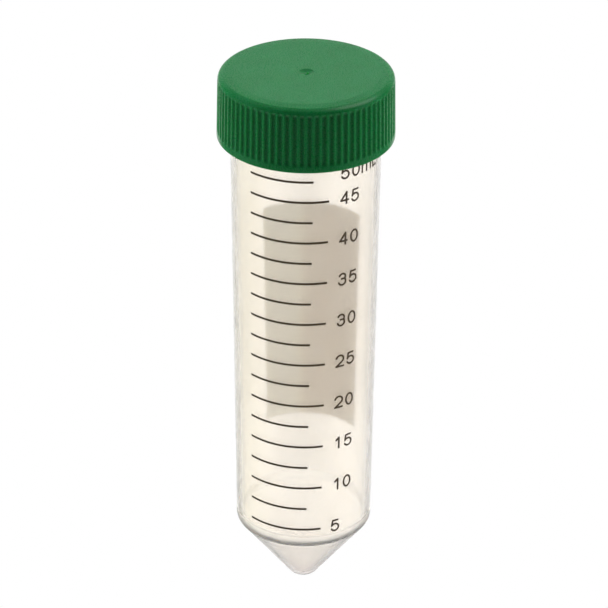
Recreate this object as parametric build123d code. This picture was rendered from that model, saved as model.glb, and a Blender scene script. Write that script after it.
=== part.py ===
from build123d import *
import math
import os

# A 50 mL conical-bottomed tube with a screw cap, for standing in a rack or spinning in a centrifuge.
# The origin is the lowest point of the tip, on the tube's axis. +Z runs up through the cap, and the
# printed scale faces -Y. All lengths are in millimetres and all angles in degrees.

# ---- Driving dimensions: tube ----
TIP_RADIUS = 4.06  # outside of the rounded tip
CONE_HALF_ANGLE = 37.4
BARREL_RADIUS = 13.73  # outside, at BARREL_RADIUS_Z
BARREL_RADIUS_Z = 16.37
BARREL_DRAFT = 0.01141  # growth of the radius for each millimetre up
WALL = 1.12
TIP_FLOOR = 1.5  # solid plastic under the lowest point of the hollow
INNER_TIP_RADIUS = 3.2
OUTER_SHOULDER_ROUND = 0.5
INNER_SHOULDER_ROUND = 1.0
NECK_BASE_Z = 103.2
NECK_RADIUS = 14.55
RIM_Z = 112.13
RIM_ROUND = 0.25

# ---- Driving dimensions: two-start thread ----
THREAD_STARTS = 2
THREAD_PITCH = 3.5  # from one ridge to the next
RIDGE_BASE = 1.6
RIDGE_CREST = 0.8
NECK_RIDGE_RADIUS = 15.5
NECK_RIDGE_LOW_Z = 104.8  # middle of the ridge at its lower end
NECK_RIDGE_TURNS = 0.85
RIDGE_ROOT_BURIED = 0.2  # how far a ridge runs into its wall, so that the two fuse
FLANK_GAP = 0.15  # between the ridges of tube and cap when the cap is tight

# ---- Driving dimensions: screw cap ----
CLOSED_HEIGHT = 114.5
CAP_HEIGHT = 13.2
CAP_FLAT_RADIUS = 14.3  # flat middle of the top
CAP_FLAT_ROUND = 5.0
CAP_BROW_RADIUS = 15.97  # edge of the top, which slopes down a little beyond its flat middle
CAP_BROW_DROP = 0.15
CAP_BROW_ROUND = 0.3
CAP_TOP_RADIUS = 17.06  # where the rounded shoulder would meet the side in a sharp corner
CAP_SHOULDER_DROP = 0.65
CAP_SHOULDER_ROUND = 1.3
CAP_BOTTOM_RADIUS = 17.33
CAP_FOOT_ROUND = 0.25
CAP_TOP_WALL = 1.47
CAP_INNER_RADIUS = 15.8
CAP_RIDGE_RADIUS = 14.9
CAP_RIDGE_TURNS = 0.8
CAP_RIDGE_LEAD_IN_TURNS = -0.05  # start of the cap's ridge, counted from the start of the tube's
RIB_COUNT = 78
RIB_LOW = 1.6  # lower end of the grooves, above the cap's foot
RIB_HIGH = 11.8  # upper end of the grooves, above the cap's foot
GROOVE_RADIUS = 0.55
GROOVE_DEPTH = 0.33
GATE_DIMPLE_RADIUS = 1.5
GATE_DIMPLE_DEPTH = 0.35
GATE_NUB_RADIUS = 0.6
GATE_NUB_HEIGHT = 0.3
GATE_NUB_X = 0.2  # the nub stands a little off the dimple's middle
GATE_NUB_Y = -0.5
GATE_PIT_RADIUS = 0.2  # in the middle of the nub, where the runner broke off
GATE_PIT_DEPTH = 0.25

# ---- Driving dimensions: sealing ring ----
PLUG_OUTER_RADIUS = 13.1  # short skirt inside the cap that centres the ring
PLUG_INNER_RADIUS = 12.2
PLUG_DEPTH = 2.2
SEAL_INNER_RADIUS = 13.25
SEAL_OUTER_RADIUS = 15.3
SEAL_THICKNESS = 0.8
SEAL_GAP = 0.05  # above and below the ring

# ---- Driving dimensions: print ----
INK = 0.05  # thickness of the print
MARK_STEP_ML = 2.5
FIRST_MARK_ML = 5.0
LAST_MARK_ML = 50.0
FIRST_MARK_Z = 19.27
MARK_WIDTH = 0.46  # up the tube
LONG_MARK_ANGLE = 63.9  # around the tube
SHORT_MARK_ANGLE = 51.6
SCALE_LEFT_ANGLE = -45.8  # left ends of the marks at PRINT_DATUM_Z, counted from -Y towards +X
NUMERAL_LEFT_ANGLE = 26.0
PRINT_LEAN = 0.0456  # degrees that the print turns for each millimetre up
PRINT_DATUM_Z = 93.87
NUMERAL_HEIGHT = 2.85
NUMERAL_WIDTH = 2.0
NUMERAL_STROKE = 0.4
NUMERAL_RISE = 0.1  # middle of a numeral above the middle of its mark
DIGIT_ADVANCE = 2.5  # from one digit's cell to the next
GLYPH_GAP = 0.5  # between the letters of the uppermost numeral
TOP_NUMERAL_Z = 99.32  # the uppermost numeral stands just under the cap, below its mark
PATCH_LOW_Z = 30.81
PATCH_HIGH_Z = 79.68
PATCH_LEFT_LOW_X = -8.29  # the sides of the patch, seen through the tube from the front
PATCH_LEFT_HIGH_X = -9.14
PATCH_RIGHT_LOW_X = 11.32
PATCH_RIGHT_HIGH_X = 11.74

# ---- Derived geometry ----
CONE_SLOPE = math.tan(math.radians(CONE_HALF_ANGLE))
CONE_SINE = math.sin(math.radians(CONE_HALF_ANGLE))
THREAD_LEAD = THREAD_STARTS * THREAD_PITCH
CAP_FOOT_Z = CLOSED_HEIGHT - CAP_HEIGHT
CEILING_Z = CLOSED_HEIGHT - CAP_TOP_WALL
CAP_SIDE_HEIGHT = CAP_HEIGHT - CAP_SHOULDER_DROP
CAP_DRAFT_ANGLE = math.degrees(math.atan2(CAP_BOTTOM_RADIUS - CAP_TOP_RADIUS, CAP_SIDE_HEIGHT))


def barrel_radius(z):
    """Outside radius of the barrel at a height."""
    return BARREL_RADIUS + BARREL_DRAFT * (z - BARREL_RADIUS_Z)


def cone_apex(tip_z, tip_radius):
    """Height where a cone that touches the rounded tip would come to a point."""
    return tip_z + tip_radius - tip_radius / CONE_SINE


def shoulder_height(apex_z, wall):
    """Height where the cone meets the barrel's surface, set in by a wall's thickness."""
    barrel_at_zero = barrel_radius(0) - wall
    return (barrel_at_zero + apex_z * CONE_SLOPE) / (CONE_SLOPE - BARREL_DRAFT)


def tip_arc(tip_z, tip_radius):
    """Quarter-like arc from the axis to where the tip runs into the cone."""

    def on_tip(angle):
        turn = math.radians(angle)
        return (tip_radius * math.cos(turn), 0, tip_z + tip_radius + tip_radius * math.sin(turn))

    return ThreePointArc(on_tip(-90), on_tip(-(90 + CONE_HALF_ANGLE) / 2), on_tip(-CONE_HALF_ANGLE))


def rounded(face, radius, *corners):
    """The face with the corners nearest to the given (r, z) points rounded."""
    found = [face.vertices().sort_by_distance(Vector(r, 0, z))[0] for r, z in corners]
    return fillet(found, radius)


def spun(face):
    """A solid of revolution from a face that lies in the XZ plane."""
    return revolve(face, Axis.Z, 360)


def helical_ridges(root_radius, crest_radius, low_z, start_turn, turns):
    """One ridge for each thread start, with a flat-topped section, along right-hand helices."""
    root = root_radius + math.copysign(RIDGE_ROOT_BURIED, root_radius - crest_radius)
    height = THREAD_LEAD * turns
    path = Helix(pitch=THREAD_LEAD, height=height, radius=root_radius)
    section = make_face(
        Polyline(
            (root, 0, -RIDGE_BASE / 2),
            (crest_radius, 0, -RIDGE_CREST / 2),
            (crest_radius, 0, RIDGE_CREST / 2),
            (root, 0, RIDGE_BASE / 2),
            close=True,
        )
    )
    ridge = sweep(section, path, is_frenet=True)
    lowest = low_z + THREAD_LEAD * start_turn
    return [
        Pos(0, 0, lowest) * Rot(0, 0, 360 * (start_turn + start / THREAD_STARTS)) * ridge
        for start in range(THREAD_STARTS)
    ]


def make_tube():
    """Barrel, cone, rounded tip, neck and thread, moulded in one."""
    outer_apex = cone_apex(0, TIP_RADIUS)
    outer_shoulder = shoulder_height(outer_apex, 0)
    inner_apex = cone_apex(TIP_FLOOR, INNER_TIP_RADIUS)
    inner_shoulder = shoulder_height(inner_apex, WALL)
    outside = tip_arc(0, TIP_RADIUS)
    inside = tip_arc(TIP_FLOOR, INNER_TIP_RADIUS)
    bore_at_rim = barrel_radius(RIM_Z) - WALL
    wall_line = Polyline(
        outside @ 1,
        (barrel_radius(outer_shoulder), 0, outer_shoulder),
        (barrel_radius(NECK_BASE_Z), 0, NECK_BASE_Z),
        (NECK_RADIUS, 0, NECK_BASE_Z),
        (NECK_RADIUS, 0, RIM_Z),
        (bore_at_rim, 0, RIM_Z),
        (barrel_radius(inner_shoulder) - WALL, 0, inner_shoulder),
        inside @ 1,
    )
    axis_line = Line(inside @ 0, outside @ 0)
    section = make_face([outside, wall_line, inside, axis_line])
    section = rounded(
        section, OUTER_SHOULDER_ROUND, (barrel_radius(outer_shoulder), outer_shoulder)
    )
    section = rounded(
        section, INNER_SHOULDER_ROUND, (barrel_radius(inner_shoulder) - WALL, inner_shoulder)
    )
    section = rounded(section, RIM_ROUND, (NECK_RADIUS, RIM_Z), (bore_at_rim, RIM_Z))
    ridges = helical_ridges(
        NECK_RADIUS, NECK_RIDGE_RADIUS, NECK_RIDGE_LOW_Z, 0, NECK_RIDGE_TURNS
    )
    return spun(section) + ridges


def cap_grooves():
    """Round-bottomed grooves down the cap's side, which leave the gripping ribs between them."""
    length = RIB_HIGH - RIB_LOW
    crest = CAP_BOTTOM_RADIUS + (CAP_TOP_RADIUS - CAP_BOTTOM_RADIUS) * RIB_LOW / CAP_SIDE_HEIGHT
    axis_radius = crest - GROOVE_DEPTH + GROOVE_RADIUS
    groove = Cylinder(GROOVE_RADIUS, length, align=(Align.CENTER, Align.CENTER, Align.MIN))
    groove = Pos(axis_radius, 0, CAP_FOOT_Z + RIB_LOW) * Rot(0, -CAP_DRAFT_ANGLE, 0) * groove
    return [Rot(0, 0, 360 * rib / RIB_COUNT) * groove for rib in range(RIB_COUNT)]


def ridge_drop():
    """How far the cap's ridges lie below the neck's when the cap is tight."""
    flank_slope = (RIDGE_BASE - RIDGE_CREST) / 2 / (NECK_RIDGE_RADIUS - NECK_RADIUS)
    neck_half_width = RIDGE_BASE / 2 - flank_slope * (CAP_RIDGE_RADIUS - NECK_RADIUS)
    return neck_half_width + RIDGE_CREST / 2 + FLANK_GAP


def make_cap():
    """Flat-topped cap with ribbed skirt, inner thread, plug skirt and the moulding gate's dimple."""
    section = make_face(
        Polyline(
            (0, 0, CEILING_Z),
            (PLUG_INNER_RADIUS, 0, CEILING_Z),
            (PLUG_INNER_RADIUS, 0, CEILING_Z - PLUG_DEPTH),
            (PLUG_OUTER_RADIUS, 0, CEILING_Z - PLUG_DEPTH),
            (PLUG_OUTER_RADIUS, 0, CEILING_Z),
            (CAP_INNER_RADIUS, 0, CEILING_Z),
            (CAP_INNER_RADIUS, 0, CAP_FOOT_Z),
            (CAP_BOTTOM_RADIUS, 0, CAP_FOOT_Z),
            (CAP_TOP_RADIUS, 0, CLOSED_HEIGHT - CAP_SHOULDER_DROP),
            (CAP_BROW_RADIUS, 0, CLOSED_HEIGHT - CAP_BROW_DROP),
            (CAP_FLAT_RADIUS, 0, CLOSED_HEIGHT),
            (0, 0, CLOSED_HEIGHT),
            close=True,
        )
    )
    shoulder_corner = (CAP_TOP_RADIUS, CLOSED_HEIGHT - CAP_SHOULDER_DROP)
    section = rounded(section, CAP_SHOULDER_ROUND, shoulder_corner)
    section = rounded(section, CAP_BROW_ROUND, (CAP_BROW_RADIUS, CLOSED_HEIGHT - CAP_BROW_DROP))
    section = rounded(section, CAP_FLAT_ROUND, (CAP_FLAT_RADIUS, CLOSED_HEIGHT))
    section = rounded(section, CAP_FOOT_ROUND, (CAP_BOTTOM_RADIUS, CAP_FOOT_Z))
    dimple_sphere = (GATE_DIMPLE_RADIUS**2 + GATE_DIMPLE_DEPTH**2) / (2 * GATE_DIMPLE_DEPTH)
    dimple = Pos(0, 0, CLOSED_HEIGHT + dimple_sphere - GATE_DIMPLE_DEPTH) * Sphere(dimple_sphere)
    nub_top = CLOSED_HEIGHT - GATE_DIMPLE_DEPTH + GATE_NUB_HEIGHT
    nub_length = GATE_NUB_HEIGHT + CAP_TOP_WALL / 2
    nub_place = Pos(GATE_NUB_X, GATE_NUB_Y, nub_top)
    down = (Align.CENTER, Align.CENTER, Align.MAX)
    nub = nub_place * Cylinder(GATE_NUB_RADIUS, nub_length, align=down)
    pit = nub_place * Cylinder(GATE_PIT_RADIUS, GATE_PIT_DEPTH, align=down)
    ridges = helical_ridges(
        CAP_INNER_RADIUS,
        CAP_RIDGE_RADIUS,
        NECK_RIDGE_LOW_Z - ridge_drop(),
        CAP_RIDGE_LEAD_IN_TURNS,
        CAP_RIDGE_TURNS,
    )
    return spun(section) - cap_grooves() - dimple + nub - pit + ridges


def make_seal():
    """Flat ring that closes the gap between the tube's rim and the cap."""
    top = CEILING_Z - SEAL_GAP
    section = make_face(
        Polyline(
            (SEAL_INNER_RADIUS, 0, top - SEAL_THICKNESS),
            (SEAL_OUTER_RADIUS, 0, top - SEAL_THICKNESS),
            (SEAL_OUTER_RADIUS, 0, top),
            (SEAL_INNER_RADIUS, 0, top),
            close=True,
        )
    )
    return spun(section)


def ink_band(low_z, high_z, left_angle, sweep_angle):
    """A thin solid on the barrel's surface, between two heights and around part of the tube."""
    section = make_face(
        Polyline(
            (barrel_radius(low_z), 0, low_z),
            (barrel_radius(low_z) + INK, 0, low_z),
            (barrel_radius(high_z) + INK, 0, high_z),
            (barrel_radius(high_z), 0, high_z),
            close=True,
        )
    )
    return Rot(0, 0, left_angle - 90) * revolve(section, Axis.Z, sweep_angle)


def mark_heights():
    """(volume, height) of each graduation: equal volumes stand closer together as the bore widens."""
    marks = []
    volume = FIRST_MARK_ML
    z = FIRST_MARK_Z
    while volume <= LAST_MARK_ML:
        marks.append((volume, z))
        # the slice's mean radius is found in two steps, because its height depends on it
        rise = MARK_STEP_ML * 1000 / (math.pi * (barrel_radius(z) - WALL) ** 2)
        rise = MARK_STEP_ML * 1000 / (math.pi * (barrel_radius(z + rise / 2) - WALL) ** 2)
        z += rise
        volume += MARK_STEP_ML
    return marks


def lean(z):
    """Turn of the print at a height, because the printed scale leans a little on the tube."""
    return PRINT_LEAN * (z - PRINT_DATUM_Z)


def stroke(*path):
    """The area that a round pen covers along a path of lines and curves."""
    area = Sketch()
    for piece in path:
        area += make_face(piece.offset_2d(NUMERAL_STROKE / 2, side=Side.BOTH))
    return area


def bowl(centre, radius, start_angle, end_angle):
    """A clockwise arc of the pen's path."""
    return CenterArc(centre, radius, start_angle, end_angle - start_angle)


def glyph(name):
    """One numeral or letter. The pen's path starts at the origin and is w wide and h high."""
    w = NUMERAL_WIDTH - NUMERAL_STROKE
    h = NUMERAL_HEIGHT - NUMERAL_STROKE
    if name == "0":
        outer = Ellipse(NUMERAL_WIDTH / 2, NUMERAL_HEIGHT / 2)
        inner = Ellipse(NUMERAL_WIDTH / 2 - NUMERAL_STROKE, NUMERAL_HEIGHT / 2 - NUMERAL_STROKE)
        return Pos(w / 2, h / 2) * (outer - inner)
    if name == "1":
        return stroke(Polyline((0.2 * w, 0.75 * h), (0.58 * w, h), (0.58 * w, 0)))
    if name == "2":
        top = bowl((0.5 * w, h - 0.5 * w), 0.5 * w, 165, -58)
        return stroke(top, Line(top @ 1, (0, 0)), Line((0, 0), (w, 0)))
    if name == "3":
        upper = bowl((0.58 * w, 0.73 * h), 0.27 * h, 160, -45)
        lower = bowl((0.56 * w, 0.31 * h), 0.31 * h, 55, -165)
        return stroke(upper, lower, Line((0.8 * w, 0.55 * h), (0.5 * w, 0.55 * h)))
    if name == "4":
        return stroke(
            Polyline((0.76 * w, h), (0, 0.29 * h), (w, 0.29 * h)),
            Line((0.76 * w, h), (0.76 * w, 0)),
        )
    if name == "5":
        belly = bowl((0.54 * w, 0.33 * h), 0.33 * h, 150, -155)
        return stroke(Polyline((0.92 * w, h), (0.22 * w, h), belly @ 0), belly)
    if name == "m":
        arch = 0.4 * w
        springing = 0.72 * h - arch
        arches = [bowl((x + arch, springing), arch, 180, 0) for x in (0, 2 * arch)]
        stems = [Line((x, 0), (x, springing)) for x in (2 * arch, 4 * arch)]
        return stroke(Line((0, 0), (0, springing + arch)), *arches, *stems)
    return stroke(Polyline((0, h), (0, 0), (0.8 * w, 0)))


def numeral(text, z):
    """A numeral on the barrel, its middle at a height: each glyph is pressed onto the curved wall."""
    wall = ink_band(z - NUMERAL_HEIGHT, z + NUMERAL_HEIGHT, 0, 360)
    glyphs = []
    arc = 0
    for name in text:
        flat = glyph(name)
        box = flat.bounding_box()
        cell = DIGIT_ADVANCE if name.isdigit() else box.size.X + GLYPH_GAP
        turn = math.radians(NUMERAL_LEFT_ANGLE + lean(z)) + (arc + cell / 2) / barrel_radius(z)
        facing = Plane(
            origin=(0, 0, z),
            x_dir=(math.cos(turn), math.sin(turn), 0),
            z_dir=(math.sin(turn), -math.cos(turn), 0),
        )
        centred = Pos(-box.center().X, (NUMERAL_STROKE - NUMERAL_HEIGHT) / 2) * flat
        glyphs += (extrude(facing * centred, amount=2 * barrel_radius(z)) & wall).solids()
        arc += cell
    return Compound(children=glyphs)


def make_print():
    """Every graduation mark and numeral, by node name."""
    nodes = {}
    for volume, z in mark_heights():
        is_long = volume % 5 == 0
        angle = LONG_MARK_ANGLE if is_long else SHORT_MARK_ANGLE
        name = f"graduation_{volume:04.1f}".replace(".", "_")
        nodes[name] = ink_band(
            z - MARK_WIDTH / 2, z + MARK_WIDTH / 2, SCALE_LEFT_ANGLE + lean(z), angle
        )
        if is_long and volume < LAST_MARK_ML:
            nodes[f"numeral_{volume:02.0f}"] = numeral(f"{volume:.0f}", z + NUMERAL_RISE)
    nodes["numeral_50_ml"] = numeral("50mL", TOP_NUMERAL_Z)
    return nodes


def make_patch():
    """White panel for writing on, printed on the wall opposite the scale, with leaning sides."""
    outline = make_face(
        Polyline(
            (PATCH_LEFT_LOW_X, PATCH_LOW_Z),
            (PATCH_RIGHT_LOW_X, PATCH_LOW_Z),
            (PATCH_RIGHT_HIGH_X, PATCH_HIGH_Z),
            (PATCH_LEFT_HIGH_X, PATCH_HIGH_Z),
            close=True,
        )
    )
    behind = extrude(Plane.XZ * outline, amount=-2 * BARREL_RADIUS)
    wall = ink_band(PATCH_LOW_Z - 1, PATCH_HIGH_Z + 1, 0, 360)
    return (wall & behind).solids()[0]


def main():
    parts = {
        "tube": make_tube(),
        "screw_cap": make_cap(),
        "cap_seal": make_seal(),
        "writing_patch": make_patch(),
        **make_print(),
    }
    os.makedirs("parts", exist_ok=True)
    for name, solid in parts.items():
        export_step(solid, f"parts/{name}.step")


main()
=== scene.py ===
import math

import bpy
import numpy as np
from mathutils import Matrix, Vector


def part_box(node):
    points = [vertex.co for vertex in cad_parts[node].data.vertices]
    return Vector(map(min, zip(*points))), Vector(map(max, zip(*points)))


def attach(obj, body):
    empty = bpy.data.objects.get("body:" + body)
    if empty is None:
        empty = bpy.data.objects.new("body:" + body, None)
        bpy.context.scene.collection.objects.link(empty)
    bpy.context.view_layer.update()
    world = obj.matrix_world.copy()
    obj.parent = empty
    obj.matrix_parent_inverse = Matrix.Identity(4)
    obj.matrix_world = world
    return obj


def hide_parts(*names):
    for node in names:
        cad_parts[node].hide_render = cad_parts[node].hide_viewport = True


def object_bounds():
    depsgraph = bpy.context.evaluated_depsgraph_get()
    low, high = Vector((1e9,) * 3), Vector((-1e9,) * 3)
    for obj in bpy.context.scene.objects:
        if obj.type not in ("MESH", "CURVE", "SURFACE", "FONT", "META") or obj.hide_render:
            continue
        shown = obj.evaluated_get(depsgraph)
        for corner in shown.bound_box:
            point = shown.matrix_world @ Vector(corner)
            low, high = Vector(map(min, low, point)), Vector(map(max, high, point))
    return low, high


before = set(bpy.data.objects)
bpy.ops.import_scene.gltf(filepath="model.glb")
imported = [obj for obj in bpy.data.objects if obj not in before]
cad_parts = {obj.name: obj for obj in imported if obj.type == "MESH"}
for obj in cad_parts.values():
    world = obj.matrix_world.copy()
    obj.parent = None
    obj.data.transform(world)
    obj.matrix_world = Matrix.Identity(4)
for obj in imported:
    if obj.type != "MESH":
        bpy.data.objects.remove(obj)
CAD_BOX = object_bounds()

# A 50 mL conical tube with a screw cap. +Z runs up the tube's axis, the printed scale faces -Y.
# Lengths are in metres, angles in degrees. The tube, the cap and the sealing ring get finer meshes
# than the CAD ones, with the same sizes and softer edges. The print stays as it is and gets ink materials.

MM = 0.001

# ---- Places read from the frame ----
TUBE_LOW, TUBE_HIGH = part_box("tube")
CAP_LOW, CAP_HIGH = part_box("screw_cap")
SEAL_LOW, SEAL_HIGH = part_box("cap_seal")
RIM_Z = TUBE_HIGH.z
CAP_FOOT_Z = CAP_LOW.z
CAP_TOP_Z = CAP_HIGH.z

# ---- Tube section ----
TIP_RADIUS = 4.06 * MM
CONE_HALF_ANGLE = 37.4
BARREL_RADIUS = 13.73 * MM  # outside, at BARREL_RADIUS_Z
BARREL_RADIUS_Z = 16.37 * MM
BARREL_DRAFT = 0.01141  # growth of the radius for each metre up
PROUD = 0.012 * MM  # the drawn surface stands this far out, so that the ink sits in it
WALL = 1.12 * MM
TIP_FLOOR = 1.5 * MM  # lowest point of the bore
INNER_TIP_RADIUS = 3.2 * MM
OUTER_SHOULDER_ROUND = 1.0 * MM
INNER_SHOULDER_ROUND = 1.0 * MM
NECK_BASE_Z = 103.2 * MM
NECK_BASE_ROUND = 0.06 * MM
NECK_RADIUS = 14.55 * MM
RIM_ROUND = 0.25 * MM
NECK_MARGIN = 0.1 * MM  # at the thread's height, a point this close to the neck's radius is outside

# ---- Two-start thread ----
THREAD_STARTS = 2
THREAD_LEAD = 7.0 * MM
RIDGE_BASE = 1.6 * MM
RIDGE_CREST = 0.8 * MM
NECK_RIDGE_HEIGHT = 0.93 * MM
NECK_RIDGE_LOW_Z = 104.8 * MM
NECK_RIDGE_TURNS = 0.85
CAP_RIDGE_HEIGHT = 0.88 * MM
CAP_RIDGE_DROP = 1.16 * MM  # how far the cap's ridges lie below the neck's
CAP_RIDGE_START = -0.05
CAP_RIDGE_TURNS = 0.8
RIDGE_END_FADE = 0.025  # turns over which a ridge rises from its wall

# ---- Cap section ----
CAP_FLAT_RADIUS = 14.3 * MM  # flat middle of the top
CAP_FLAT_ROUND = 5.0 * MM
CAP_BROW_RADIUS = 15.97 * MM  # edge of the top, which slopes down a little beyond its flat middle
CAP_BROW_DROP = 0.15 * MM
CAP_BROW_ROUND = 0.3 * MM
CAP_TOP_RADIUS = 17.06 * MM  # where the rounded shoulder would meet the side in a sharp corner
CAP_SHOULDER_DROP = 0.65 * MM
CAP_SHOULDER_ROUND = 1.3 * MM
CAP_BOTTOM_RADIUS = 17.32 * MM
CAP_FOOT_ROUND = 0.3 * MM
CAP_TOP_WALL = 1.47 * MM
CAP_INNER_RADIUS = 15.8 * MM
CAP_INNER_ROUND = 0.35 * MM
CAP_BORE_MARGIN = 0.02 * MM  # points this close to the inner radius are on the bore's wall
CAP_SIDE_MARGIN = 0.6 * MM  # points further out than the inner radius by this are on the side
PLUG_OUTER_RADIUS = 13.1 * MM
PLUG_INNER_RADIUS = 12.2 * MM
PLUG_DEPTH = 2.2 * MM
PLUG_OUTER_ROOT_ROUND = 0.15 * MM
PLUG_INNER_ROOT_ROUND = 0.3 * MM
PLUG_END_ROUND = 0.2 * MM
RIB_COUNT = 78
RIB_LOW = 1.6 * MM  # ends of the grooves, above the cap's foot
RIB_HIGH = 11.8 * MM
GROOVE_RADIUS = 0.55 * MM
GROOVE_DEPTH = 0.33 * MM
GROOVE_RUN_OUT = 0.45 * MM  # each end fades over twice this height
DIMPLE_RADIUS = 1.45 * MM
DIMPLE_DEPTH = 0.33 * MM
DIMPLE_LIP = 0.12 * MM
NUB_RADIUS = 0.6 * MM
NUB_HEIGHT = 0.3 * MM
NUB_FLAT = 0.6  # share of the nub's radius that is flat on top
NUB_X = 0.2 * MM
NUB_Y = -0.5 * MM
PIT_RADIUS = 0.2 * MM  # in the middle of the nub, halfway down the pit's soft side
PIT_DEPTH = 0.25 * MM

# ---- Sealing ring ----
SEAL_INNER_RADIUS = 13.25 * MM
SEAL_EDGE_ROUND = 0.12 * MM

# ---- Fineness of the meshes ----
TUBE_SEGMENTS = 256
CAP_SEGMENTS = 8 * RIB_COUNT
ROUND_STEPS = 5
TIP_STEPS = 12
DIMPLE_STEPS = 16
LONGEST_STEP = 3 * MM
THREAD_ROW = 0.22 * MM
GROOVE_END_STEPS = 4  # rows over each GROOVE_RUN_OUT
FLAT_TOP_RINGS = (2, 4, 7, 10, 13)  # radii in millimetres of the rings of points on the cap's flat top

# ---- Camera: the tube stands upright and is seen from the front and above ----
CAMERA_DISTANCE = 0.6458
CAMERA_ELEVATION = 28.9
CAMERA_AZIMUTH = 0.12
CAMERA_ROLL = 0.37
CAMERA_AIM = 0.5565  # share of the object's height
CAMERA_AIM_X = -0.17 * MM
CAMERA_LENS = 192.06  # this and the sensor's width are in millimetres
SENSOR_WIDTH = 36.0
CLIP_START = 0.01

# ---- Light ----
# A soft light is a direction, a brightness, and the cosines of the angles from that direction at which
# it begins and is full. A fade is the stretch along one axis over which one brightness turns into another.

# The white surroundings as seen through the tube
BACKDROP = 1.24
BACKDROP_FRONT = 2.9  # lights the face of the writing patch that is seen through the tube
BACKDROP_FADE_Y = (-0.5, 0.0)
# painted shadow of the object on the floor, seen only through the tube
FLOOR_PAINTED_SHADOW = 0.85  # share of the backdrop's brightness on the floor straight behind the object
FLOOR_FADE_X = (3 * MM, 12 * MM)  # distance from the middle, to either side
FLOOR_HALF_WIDTH = 4.0
FLOOR_GAP = 0.05 * MM  # between the tip and the floor

# The light on dull surfaces
TENT_FRONT = 0.03
TENT_BACK = 0.95
TENT_FADE_Y = (-0.3, 0.4)
TENT_BELOW = 0.85
TENT_BELOW_FADE_Z = (-0.2, -0.6)
OVERHEAD_LIGHT = ((0, 0.5, 0.86), 1.15, 0.6, 0.85)
RIGHT_LIGHT = ((0.98, 0.0, -0.12), 1.5, 0.75, 0.92)
LEFT_LIGHT = ((-0.98, 0.0, -0.12), 1.42, 0.75, 0.92)

# The surroundings as glossy surfaces mirror them
MIRRORED_FRONT = 0.04
MIRRORED_BACK = 0.42
MIRRORED_FADE_Y = (0.6, 0.85)
MIRRORED_LOW_BACK = 1.0  # below the horizon behind the object, seen at grazing angles
LOW_BACK_FADE_Z = (-0.1, -0.35)
MIRRORED_BELOW = 0.3
MIRRORED_BELOW_FADE_Z = (-0.55, -0.85)
MIRRORED_LIGHT = ((0.6, 0.1, 0.79), 1.5, 0.88, 0.97)


# ---------------------------------------------------------------- shapes

def arc(centre_r, centre_z, radius, start, end, steps):
    """Points (r, z) along an arc, the ends included."""
    points = []
    for i in range(steps + 1):
        turn = math.radians(start + (end - start) * i / steps)
        points.append((centre_r + radius * math.cos(turn), centre_z + radius * math.sin(turn)))
    return points


def rounded(corners):
    """Points (r, z) of an outline given by corners (r, z, rounding radius)."""
    points = []
    for i, (r, z, radius) in enumerate(corners):
        here = np.array((r, z))
        if radius == 0:
            points.append((r, z))
            continue
        back = np.array(corners[i - 1][:2]) - here
        ahead = np.array(corners[(i + 1) % len(corners)][:2]) - here
        back /= np.linalg.norm(back)
        ahead /= np.linalg.norm(ahead)
        half = math.acos(np.clip(back @ ahead, -1, 1)) / 2
        middle = (back + ahead) / np.linalg.norm(back + ahead)
        centre = here + middle * radius / math.sin(half)
        first = here + back * radius / math.tan(half) - centre
        last = here + ahead * radius / math.tan(half) - centre
        spread = math.pi - 2 * half
        for step in range(ROUND_STEPS + 1):
            share = step / ROUND_STEPS
            weight_first = math.sin((1 - share) * spread) / math.sin(spread)
            weight_last = math.sin(share * spread) / math.sin(spread)
            points.append(tuple(centre + first * weight_first + last * weight_last))
    return points


def with_rows(points, heights_at):
    """The outline with extra points in long runs, and where an upright run at radius r crosses the
    heights that heights_at(r) gives."""
    upright = 0.9  # a run is upright when it rises by this share of its length
    margin = 0.001  # no extra point comes closer than this share to the end of its run
    finer = [points[0]]
    for start, end in zip(points, points[1:]):
        rise = end[1] - start[1]
        run = math.dist(start, end)
        steps = max(1, math.ceil(run / LONGEST_STEP))
        shares = {i / steps for i in range(1, steps)}
        if abs(rise) > upright * run:
            crossed = [(height - start[1]) / rise for height in heights_at(start[0])]
            shares |= {share for share in crossed if margin < share < 1 - margin}
        for share in sorted(shares) + [1]:
            finer.append((start[0] + (end[0] - start[0]) * share, start[1] + rise * share))
    return finer


def smoothstep(low, high, value):
    """0 below low, 1 above high, smooth between."""
    share = np.clip((value - low) / (high - low), 0, 1)
    return share * share * (3 - 2 * share)


def lathe(name, outline, segments, shape=None):
    """A closed solid of revolution. The outline runs from one point on the axis to another, or back to
    its start; shape(angles, radii, heights) may return new radii and heights for a ring's points."""
    on_axis = 1e-7  # a ring with a smaller radius is a single point
    rings = []
    vertices = []
    for r, z in outline:
        count = 1 if r < on_axis else segments
        angles = np.arange(count) * 2 * math.pi / count
        radii, heights = np.full(count, r), np.full(count, z)
        if shape:
            radii, heights = shape(angles, radii, heights)
        rings.append(list(range(len(vertices), len(vertices) + count)))
        vertices += zip(radii * np.cos(angles), radii * np.sin(angles), heights)
    closes = len(rings[0]) > 1
    faces = []
    for i in range(len(rings) if closes else len(rings) - 1):
        one, two = rings[i], rings[(i + 1) % len(rings)]
        for s in range(segments):
            after = (s + 1) % segments
            corners = [one[s % len(one)], one[after % len(one)], two[after % len(two)], two[s % len(two)]]
            faces.append(list(dict.fromkeys(corners)))
    mesh = bpy.data.meshes.new(name)
    mesh.from_pydata([tuple(map(float, v)) for v in vertices], [], faces)
    mesh.validate()
    mesh.polygons.foreach_set("use_smooth", [True] * len(mesh.polygons))
    mesh.update()
    piece = bpy.data.objects.new(name, mesh)
    bpy.context.scene.collection.objects.link(piece)
    return piece


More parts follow.
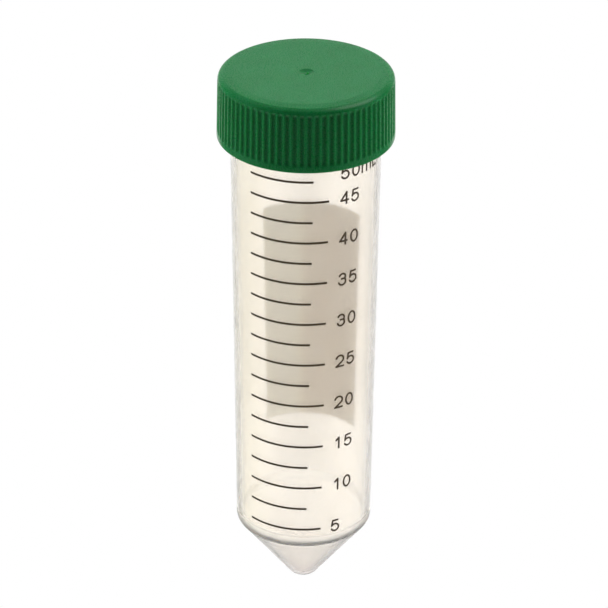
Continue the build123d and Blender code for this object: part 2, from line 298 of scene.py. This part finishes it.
def ridge_rise(angles, heights, low_z, start_turn, turns):
    """How far up a thread ridge's side each point is: 0 on the wall, 1 on the crest. Each start's ridge
    climbs from low_z at turn 0 and lies between start_turn and start_turn + turns."""
    rise = np.zeros_like(heights)
    end_turn = start_turn + turns
    flank = (RIDGE_BASE - RIDGE_CREST) / 2
    for start in range(THREAD_STARTS):
        own_turn = angles / (2 * math.pi) - start / THREAD_STARTS
        for lap in range(-2, 3):  # the ridge may pass the same angle on any of these laps
            turn = own_turn + lap
            middle = low_z + THREAD_LEAD * turn
            side = np.clip((RIDGE_BASE / 2 - np.abs(heights - middle)) / flank, 0, 1)
            fade = smoothstep(start_turn, start_turn + RIDGE_END_FADE, turn)
            fade = fade * (1 - smoothstep(end_turn - RIDGE_END_FADE, end_turn, turn))
            rise = np.maximum(rise, side * fade)
    return rise


def thread_rows(low_z, start_turn, turns):
    """Heights of the rows of points that a thread's ridges need."""
    low = low_z + THREAD_LEAD * start_turn - RIDGE_BASE
    high = low_z + THREAD_LEAD * (start_turn + turns) + RIDGE_BASE
    return np.arange(low, high, THREAD_ROW)


def barrel_radius(z):
    """The barrel's outside radius at height z."""
    return BARREL_RADIUS + BARREL_DRAFT * (z - BARREL_RADIUS_Z)


def shoulder(apex_z, wall):
    """Height where the cone through apex_z meets the barrel's surface, set in by wall."""
    slope = math.tan(math.radians(CONE_HALF_ANGLE))
    return (barrel_radius(0) - wall + apex_z * slope) / (slope - BARREL_DRAFT)


def cone_apex(tip_z, tip_radius):
    """Height of the cone's point, for a ball of tip_radius that rests in the cone with its foot at tip_z."""
    return tip_z + tip_radius - tip_radius / math.sin(math.radians(CONE_HALF_ANGLE))


def tube_outline():
    """From the lowest point outside, up over the rim and down to the lowest point of the bore."""
    out_shoulder = shoulder(cone_apex(0, TIP_RADIUS), -PROUD)
    in_shoulder = shoulder(cone_apex(TIP_FLOOR, INNER_TIP_RADIUS), WALL)
    outer_tip = arc(0, TIP_RADIUS, TIP_RADIUS, -90, -CONE_HALF_ANGLE, TIP_STEPS)
    inner_tip = arc(0, TIP_FLOOR + INNER_TIP_RADIUS, INNER_TIP_RADIUS, -CONE_HALF_ANGLE, -90, TIP_STEPS)
    walls = rounded(
        [
            (*outer_tip[-1], 0),
            (barrel_radius(out_shoulder) + PROUD, out_shoulder, OUTER_SHOULDER_ROUND),
            (barrel_radius(NECK_BASE_Z) + PROUD, NECK_BASE_Z, NECK_BASE_ROUND),
            (NECK_RADIUS, NECK_BASE_Z, NECK_BASE_ROUND),
            (NECK_RADIUS, RIM_Z, RIM_ROUND),
            (barrel_radius(RIM_Z) - WALL, RIM_Z, RIM_ROUND),
            (barrel_radius(in_shoulder) - WALL, in_shoulder, INNER_SHOULDER_ROUND),
            (*inner_tip[0], 0),
        ]
    )
    rows = thread_rows(NECK_RIDGE_LOW_Z, 0, NECK_RIDGE_TURNS)
    walls = with_rows(walls, lambda r: rows if r > NECK_RADIUS - NECK_MARGIN else ())
    return outer_tip[:-1] + walls + inner_tip[1:]


def make_tube():
    """Barrel, cone, tip, neck and thread of the clear tube, with its real wall."""

    def threaded(angles, radii, heights):
        outside = radii > NECK_RADIUS - NECK_MARGIN
        on_neck = outside & (heights > NECK_BASE_Z + NECK_BASE_ROUND)
        rise = ridge_rise(angles, heights, NECK_RIDGE_LOW_Z, 0, NECK_RIDGE_TURNS)
        return radii + on_neck * rise * NECK_RIDGE_HEIGHT, heights

    return lathe("clear_tube", tube_outline(), TUBE_SEGMENTS, threaded)


def dimple_outline():
    """The gate's round dimple in the middle of the cap's top, and the flat top around it."""
    ball = (DIMPLE_RADIUS**2 + DIMPLE_DEPTH**2) / (2 * DIMPLE_DEPTH)
    points = []
    for i in range(DIMPLE_STEPS + 1):
        r = DIMPLE_RADIUS * i / DIMPLE_STEPS
        depth = math.sqrt(ball**2 - r**2) - (ball - DIMPLE_DEPTH)
        points.append((r, CAP_TOP_Z - max(depth, 0)))
    points.append((DIMPLE_RADIUS + DIMPLE_LIP, CAP_TOP_Z))
    points += [(r * MM, CAP_TOP_Z) for r in FLAT_TOP_RINGS]
    return points


def cap_outline():
    """From the middle of the top, down the side, round the foot and up the inside to the ceiling."""
    ceiling = CAP_TOP_Z - CAP_TOP_WALL
    walls = rounded(
        [
            (0, CAP_TOP_Z, 0),
            (CAP_FLAT_RADIUS, CAP_TOP_Z, CAP_FLAT_ROUND),
            (CAP_BROW_RADIUS, CAP_TOP_Z - CAP_BROW_DROP, CAP_BROW_ROUND),
            (CAP_TOP_RADIUS, CAP_TOP_Z - CAP_SHOULDER_DROP, CAP_SHOULDER_ROUND),
            (CAP_BOTTOM_RADIUS, CAP_FOOT_Z, CAP_FOOT_ROUND),
            (CAP_INNER_RADIUS, CAP_FOOT_Z, CAP_INNER_ROUND),
            (CAP_INNER_RADIUS, ceiling, CAP_INNER_ROUND),
            (PLUG_OUTER_RADIUS, ceiling, PLUG_OUTER_ROOT_ROUND),
            (PLUG_OUTER_RADIUS, ceiling - PLUG_DEPTH, PLUG_END_ROUND),
            (PLUG_INNER_RADIUS, ceiling - PLUG_DEPTH, PLUG_END_ROUND),
            (PLUG_INNER_RADIUS, ceiling, PLUG_INNER_ROOT_ROUND),
            (0, ceiling, 0),
        ]
    )
    ridge_rows = thread_rows(NECK_RIDGE_LOW_Z - CAP_RIDGE_DROP, CAP_RIDGE_START, CAP_RIDGE_TURNS)
    rib_rows = []
    steps = range(-GROOVE_END_STEPS - 1, GROOVE_END_STEPS + 2)
    for end in (RIB_LOW, RIB_HIGH):
        rib_rows += [CAP_FOOT_Z + end + GROOVE_RUN_OUT * i / GROOVE_END_STEPS for i in steps]
    side_radius = CAP_INNER_RADIUS + CAP_SIDE_MARGIN
    walls = with_rows(walls[1:], lambda r: rib_rows if r > side_radius else ridge_rows)
    return dimple_outline() + walls


def make_cap():
    """The green cap with its gripping ribs, thread, plug and gate mark."""
    groove_centre_out = GROOVE_RADIUS - GROOVE_DEPTH
    pitch = 2 * math.pi / RIB_COUNT
    ridge_low_z = NECK_RIDGE_LOW_Z - CAP_RIDGE_DROP
    nub_top = CAP_TOP_Z - DIMPLE_DEPTH + NUB_HEIGHT

    def grooves(angles, radii, heights):
        """Depth of the grooves between the ribs."""
        above_foot = heights - CAP_FOOT_Z
        run_in = smoothstep(RIB_LOW - GROOVE_RUN_OUT, RIB_LOW + GROOVE_RUN_OUT, above_foot)
        run_out = smoothstep(RIB_HIGH - GROOVE_RUN_OUT, RIB_HIGH + GROOVE_RUN_OUT, above_foot)
        across = (np.mod(angles + pitch / 2, pitch) - pitch / 2) * radii
        depth = np.sqrt(np.maximum(GROOVE_RADIUS**2 - across**2, 0)) - groove_centre_out
        return run_in * (1 - run_out) * np.maximum(depth, 0)

    def gate_mark(angles, radii, heights):
        """How far the nub and the pit in it lift the dimple's surface."""
        from_nub = np.hypot(radii * np.cos(angles) - NUB_X, radii * np.sin(angles) - NUB_Y)
        in_dimple = (radii < DIMPLE_RADIUS) & (heights > CAP_TOP_Z - CAP_TOP_WALL / 2)
        nub = 1 - smoothstep(NUB_FLAT * NUB_RADIUS, NUB_RADIUS, from_nub)
        nub = nub * np.maximum(nub_top - heights, 0)
        nub -= PIT_DEPTH * (1 - smoothstep(0.5 * PIT_RADIUS, 1.5 * PIT_RADIUS, from_nub))
        return in_dimple * nub

    def moulded(angles, radii, heights):
        on_bore = np.abs(radii - CAP_INNER_RADIUS) < CAP_BORE_MARGIN
        outside = radii > CAP_INNER_RADIUS + CAP_SIDE_MARGIN
        rise = ridge_rise(angles, heights, ridge_low_z, CAP_RIDGE_START, CAP_RIDGE_TURNS)
        cut = outside * grooves(angles, radii, heights)
        lift = gate_mark(angles, radii, heights)
        return radii - cut - on_bore * rise * CAP_RIDGE_HEIGHT, heights + lift

    return lathe("green_cap", cap_outline(), CAP_SEGMENTS, moulded)


def make_seal():
    """The flat ring that closes on the tube's rim."""
    outer_radius = SEAL_HIGH.x
    outline = rounded(
        [
            (SEAL_INNER_RADIUS, SEAL_LOW.z, SEAL_EDGE_ROUND),
            (outer_radius, SEAL_LOW.z, SEAL_EDGE_ROUND),
            (outer_radius, SEAL_HIGH.z, SEAL_EDGE_ROUND),
            (SEAL_INNER_RADIUS, SEAL_HIGH.z, SEAL_EDGE_ROUND),
        ]
    )
    return lathe("sealing_ring", outline, TUBE_SEGMENTS)


# ---------------------------------------------------------------- materials

class Nodes:
    """Short ways to add nodes to a node tree."""

    def __init__(self, tree):
        self.tree = tree

    def put(self, socket, value):
        """Sets a socket, or links it to another node's output."""
        if isinstance(value, bpy.types.NodeSocket):
            self.tree.links.new(value, socket)
        else:
            socket.default_value = value

    def add(self, kind, inputs=None, **settings):
        """A new node, with its inputs and its own settings."""
        node = self.tree.nodes.new(kind)
        for key, value in settings.items():
            setattr(node, key, value)
        for key, value in (inputs or {}).items():
            self.put(node.inputs[key], value)
        return node

    def math(self, operation, *values):
        """The result of one operation on numbers or sockets."""
        return self.add("ShaderNodeMath", dict(enumerate(values)), operation=operation).outputs[0]

    def range(self, value, from_low, from_high, to_low=0.0, to_high=1.0, smooth=False):
        """to_low where value is from_low, to_high where it is from_high, and clamped beyond them."""
        inputs = {
            "Value": value,
            "From Min": from_low,
            "From Max": from_high,
            "To Min": to_low,
            "To Max": to_high,
        }
        kind = "SMOOTHSTEP" if smooth else "LINEAR"
        return self.add("ShaderNodeMapRange", inputs, interpolation_type=kind).outputs["Result"]

    def mix(self, share, one, two):
        """A colour from one to two."""
        inputs = {0: share}
        for place, colour in ((6, one), (7, two)):
            inputs[place] = colour if isinstance(colour, bpy.types.NodeSocket) else (*colour, 1)
        return self.add("ShaderNodeMix", inputs, data_type="RGBA").outputs[2]

    def axes(self, vector):
        """The X, Y and Z outputs of a vector."""
        return self.add("ShaderNodeSeparateXYZ", {0: vector}).outputs


class Shader(Nodes):
    """A new material with its Principled shader, and patterns in the piece's own millimetres."""

    def __init__(self, name):
        self.material = bpy.data.materials.new(name)
        self.material.use_nodes = True
        super().__init__(self.material.node_tree)
        self.bsdf = self.tree.nodes["Principled BSDF"]

    def set(self, **values):
        """Sets or links the shader's own inputs, by name with _ for spaces."""
        for key, value in values.items():
            self.put(self.bsdf.inputs[key.replace("_", " ")], value)

    def place(self, stretch=(1, 1, 1)):
        """Position on the piece, in millimetres, each axis divided by stretch."""
        coordinates = self.add("ShaderNodeTexCoord").outputs["Object"]
        scale = [1 / (MM * s) for s in stretch]
        return self.add("ShaderNodeMapping", {"Vector": coordinates, "Scale": scale}).outputs["Vector"]

    def noise(self, size, stretch=(1, 1, 1), detail=2.0, roughness=0.5):
        """Smooth noise whose blobs are about size millimetres across."""
        inputs = {
            "Vector": self.place(stretch),
            "Scale": 1 / size,
            "Detail": detail,
            "Roughness": roughness,
        }
        return self.add("ShaderNodeTexNoise", inputs).outputs["Fac"]

    def bump(self, height, depth, normal=None):
        """A normal tilted by a height from 0 to 1, which stands for depth in metres."""
        inputs = {"Height": height, "Distance": depth}
        if normal is not None:
            inputs["Normal"] = normal
        return self.add("ShaderNodeBump", inputs).outputs["Normal"]


def polypropylene():
    """Clear moulded polypropylene: slightly milky and warm, with a painted warm cast of light towards -X and
    greyer towards the tip, with faint flow streaks, a frosted ring where the cone meets the barrel, and a
    duller cone."""
    warm = (0.965, 0.928, 0.873)
    pale = (0.973, 0.94, 0.89)
    warm_light_tint = (0.96, 0.925, 0.84)
    tip_grey = (0.89, 0.842, 0.807)
    ring_z = 16.4
    ring_roughness = 0.55
    cone_roughness = 0.11
    shader = Shader("polypropylene")
    streaks = shader.noise(0.9, stretch=(1, 1, 30), detail=3)
    clouds = shader.noise(7, stretch=(1, 1, 2.5), detail=2)
    body = shader.mix(shader.range(clouds, 0.35, 0.65), warm, pale)
    axes = shader.axes(shader.place())
    # painted light: a warm cast of light on the -X side of the body
    painted_warm_side = shader.range(axes["X"], -4.0, -13.0, 0.0, 0.8, smooth=True)
    body = shader.mix(painted_warm_side, body, warm_light_tint)
    # greyer towards the tip, fading out over the lower cone
    above_tip = shader.range(axes["Z"], 2.0, 9.0, smooth=True)
    colour = shader.mix(above_tip, tip_grey, body)
    grain = shader.noise(0.25, detail=2)
    smooth_skin = shader.range(grain, 0.3, 0.7, 0.08, 0.13)
    from_ring = shader.math("ABSOLUTE", shader.math("SUBTRACT", axes["Z"], ring_z))
    skin = shader.range(from_ring, 0.5, 1.2, ring_roughness, smooth_skin, smooth=True)
    duller_cone = shader.range(axes["Z"], 5.0, 15.0, cone_roughness, 0.0)
    normal = shader.bump(streaks, 0.003 * MM)
    normal = shader.bump(grain, 0.0006 * MM, normal=normal)
    shader.set(
        Base_Color=colour,
        Roughness=shader.math("MAXIMUM", skin, duller_cone),
        IOR=1.49,
        Transmission_Weight=0.93,
        Subsurface_Weight=0.6,
        Subsurface_Radius=(1.0, 0.95, 0.85),
        Subsurface_Scale=1.5 * MM,
        Normal=normal,
    )
    return shader.material


def polyethylene():
    """Green moulded polyethylene with a fine-grained satin skin and faint waves."""
    deep = (0.004, 0.210, 0.050)
    light = (0.007, 0.236, 0.062)
    shader = Shader("green_polyethylene")
    clouds = shader.noise(4.0, detail=3)
    colour = shader.mix(shader.range(clouds, 0.3, 0.7), deep, light)
    grain = shader.noise(0.18, detail=3, roughness=0.6)
    waves = shader.noise(2.2, detail=2)
    normal = shader.bump(waves, 0.010 * MM)
    normal = shader.bump(grain, 0.004 * MM, normal=normal)
    shader.set(
        Base_Color=colour,
        Roughness=shader.range(grain, 0.3, 0.7, 0.24, 0.32),
        IOR=1.52,
        Subsurface_Weight=0.65,
        Subsurface_Radius=(0.3, 1.2, 0.5),
        Subsurface_Scale=1.0 * MM,
        Normal=normal,
    )
    return shader.material


def elastomer():
    """Off-white sealing ring, dull and fine-grained."""
    dark = (0.70, 0.69, 0.65)
    light = (0.78, 0.77, 0.74)
    shader = Shader("seal_elastomer")
    grain = shader.noise(0.15, detail=3)
    colour = shader.mix(grain, dark, light)
    shader.set(Base_Color=colour, Roughness=0.75, Normal=shader.bump(grain, 0.01 * MM))
    return shader.material


def ink():
    """Screen-printed dark ink with slight pinholes and an uneven film."""
    solid = (0.10, 0.070, 0.042)
    thin = (0.14, 0.105, 0.07)
    shader = Shader("printing_ink")
    film = shader.noise(0.12, detail=4, roughness=0.6)
    colour = shader.mix(shader.range(film, 0.55, 0.75), solid, thin)
    shader.set(
        Base_Color=colour,
        Roughness=0.5,
        Specular_IOR_Level=0.3,
        Normal=shader.bump(film, 0.006 * MM),
    )
    return shader.material


def patch_ink():
    """White print for writing on: a thin chalky film. The face on the tube is painted lighter and warmer
    towards -X, as light, and a darker grey towards +X, as shade, and the face that is written on is a light
    grey, which the bright light behind the tube turns white."""
    warm = (0.99, 0.955, 0.88)
    grey = (0.82, 0.785, 0.748)
    cloud = (0.93, 0.92, 0.89)
    outer_dark = (0.555, 0.55, 0.53)
    outer_light = (0.58, 0.575, 0.555)
    shader = Shader("patch_ink")
    chalk = shader.noise(0.09, detail=4, roughness=0.65)
    clouds = shader.noise(5, detail=2)
    across = shader.axes(shader.place())["X"]
    # painted light and shade: the inner face is lighter and warmer towards -X and a darker grey towards +X
    inner = shader.mix(shader.range(across, -2.0, 1.0, smooth=True), warm, grey)
    inner = shader.mix(shader.range(clouds, 0.3, 0.7, 0.0, 0.4), inner, cloud)
    outer = shader.mix(shader.range(clouds, 0.35, 0.65), outer_dark, outer_light)
    normal = shader.axes(shader.add("ShaderNodeTexCoord").outputs["Normal"])
    colour = shader.mix(shader.range(normal["Y"], -0.2, 0.2), inner, outer)
    shader.set(
        Base_Color=colour,
        Roughness=0.85,
        Specular_IOR_Level=0.3,
        Subsurface_Weight=1.0,
        Subsurface_Radius=(1.0, 1.0, 1.0),
        Subsurface_Scale=0.05 * MM,
        Normal=shader.bump(chalk, 0.008 * MM),
    )
    return shader.material


def dress(piece, material):
    """Gives a piece, or a carried-over CAD node, its one material."""
    if not piece.material_slots:
        piece.data.materials.append(material)
    for material_slot in piece.material_slots:
        material_slot.material = material


# ---------------------------------------------------------------- stage

def make_floor():
    """A plain pale floor. The camera sees it as white, and rays that pass through the tube see it as the
    backdrop, a little dimmer near the middle, where a shadow of the object is painted. No dull or glossy
    surface gets light from it."""
    half = FLOOR_HALF_WIDTH
    below = TUBE_LOW.z - FLOOR_GAP
    corners = [(-half, -half, below), (half, -half, below), (half, half, below), (-half, half, below)]
    mesh = bpy.data.meshes.new("floor")
    mesh.from_pydata(corners, [], [(0, 1, 2, 3)])
    floor = bpy.data.objects.new("floor", mesh)
    bpy.context.scene.collection.objects.link(floor)
    material = bpy.data.materials.new("floor")
    material.use_nodes = True
    nodes = Nodes(material.node_tree)
    seen_directly = nodes.add("ShaderNodeLightPath").outputs["Is Camera Ray"]
    place = nodes.add("ShaderNodeTexCoord").outputs["Object"]
    aside = nodes.math("ABSOLUTE", nodes.axes(place)["X"])
    # painted shadow: the glow is dimmer along the middle, straight behind the object
    middle = FLOOR_PAINTED_SHADOW * BACKDROP
    backdrop = nodes.range(aside, *FLOOR_FADE_X, middle, BACKDROP, smooth=True)
    strength = nodes.range(seen_directly, 0.0, 1.0, backdrop, 1.0)
    glow = nodes.add("ShaderNodeEmission", {"Color": (1, 1, 1, 1), "Strength": strength}).outputs[0]
    nodes.put(material.node_tree.nodes["Material Output"].inputs["Surface"], glow)
    floor.data.materials.append(material)
    floor.visible_diffuse = False
    floor.visible_glossy = False
    floor.visible_shadow = False


def make_world():
    """A light tent: bright behind and below, dim in front, with soft lights above and at the sides. Dull
    surfaces, glossy surfaces and rays that pass through the tube each see their own strength of it, and
    the camera sees it as plain white."""
    world = bpy.data.worlds.new("light_tent")
    world.use_nodes = True
    bpy.context.scene.world = world
    nodes = Nodes(world.node_tree)
    direction = nodes.add("ShaderNodeTexCoord").outputs["Generated"]
    axes = nodes.axes(direction)

    def soft_light(towards, brightness, edge, full):
        """A soft-edged round light in one direction."""
        facing = nodes.add("ShaderNodeVectorMath", {0: direction, 1: towards}, operation="DOT_PRODUCT")
        return nodes.range(facing.outputs["Value"], edge, full, 0.0, brightness, smooth=True)

    light = nodes.range(axes["Y"], *TENT_FADE_Y, TENT_FRONT, TENT_BACK, smooth=True)
    light = nodes.math("ADD", light, soft_light(*OVERHEAD_LIGHT))
    below = nodes.range(axes["Z"], *TENT_BELOW_FADE_Z, 0.0, TENT_BELOW, smooth=True)
    light = nodes.math("ADD", light, below)
    light = nodes.math("ADD", light, soft_light(*RIGHT_LIGHT))
    light = nodes.math("ADD", light, soft_light(*LEFT_LIGHT))

    back = nodes.range(axes["Z"], *LOW_BACK_FADE_Z, MIRRORED_BACK, MIRRORED_LOW_BACK, smooth=True)
    mirrored = nodes.range(axes["Y"], *MIRRORED_FADE_Y, MIRRORED_FRONT, back, smooth=True)
    below = nodes.range(axes["Z"], *MIRRORED_BELOW_FADE_Z, 0.0, MIRRORED_BELOW, smooth=True)
    mirrored = nodes.math("ADD", mirrored, below)
    mirrored = nodes.math("ADD", mirrored, soft_light(*MIRRORED_LIGHT))

    backdrop = nodes.range(axes["Y"], *BACKDROP_FADE_Y, BACKDROP_FRONT, BACKDROP, smooth=True)

    # each kind of ray sees its own surroundings
    path = nodes.add("ShaderNodeLightPath").outputs
    strength = light
    for flag, seen in (
        ("Is Glossy Ray", mirrored),
        ("Is Transmission Ray", backdrop),
        ("Is Camera Ray", 1.0),
    ):
        mixed = nodes.add("ShaderNodeMix", {0: path[flag], 2: strength, 3: seen}, data_type="FLOAT")
        strength = mixed.outputs[0]
    background = world.node_tree.nodes["Background"]
    nodes.put(background.inputs["Color"], (1, 1, 1, 1))
    nodes.put(background.inputs["Strength"], strength)


def make_camera():
    """A long lens from the front and above, aimed near the middle of the object."""
    camera_data = bpy.data.cameras.new("camera")
    camera_data.lens = CAMERA_LENS
    camera_data.sensor_width = SENSOR_WIDTH
    camera_data.clip_start = CLIP_START
    camera = bpy.data.objects.new("camera", camera_data)
    bpy.context.scene.collection.objects.link(camera)
    low, high = CAD_BOX
    aim = Vector((CAMERA_AIM_X, 0, low.z + CAMERA_AIM * (high.z - low.z)))
    elevation = math.radians(CAMERA_ELEVATION)
    azimuth = math.radians(CAMERA_AZIMUTH)
    level = math.cos(elevation)
    back = Vector((math.sin(azimuth) * level, -math.cos(azimuth) * level, math.sin(elevation)))
    camera.location = aim + back * CAMERA_DISTANCE
    look = (-back).to_track_quat("-Z", "Y").to_matrix()
    roll = Matrix.Rotation(math.radians(CAMERA_ROLL), 3, "Z")
    camera.rotation_euler = (look @ roll).to_euler()
    bpy.context.scene.camera = camera


def main():
    """Builds the three moulded pieces, gives every piece its material and sets the stage."""
    make_camera()
    pieces = (
        (make_tube(), "tube", "tube", "clear_polypropylene", polypropylene()),
        (make_cap(), "cap", "screw_cap", "green_polyethylene", polyethylene()),
        (make_seal(), "seal", "cap_seal", "seal_elastomer", elastomer()),
    )
    for piece, body, node, slot, material in pieces:
        dress(piece, material)
        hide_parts(node)
        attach(piece, body)
    dark, white = ink(), patch_ink()
    for name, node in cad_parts.items():
        if name.startswith(("graduation_", "numeral_")):
            dress(node, dark)
    dress(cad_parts["writing_patch"], white)
    make_floor()
    make_world()
    bpy.context.scene.view_settings.view_transform = "Standard"


main()
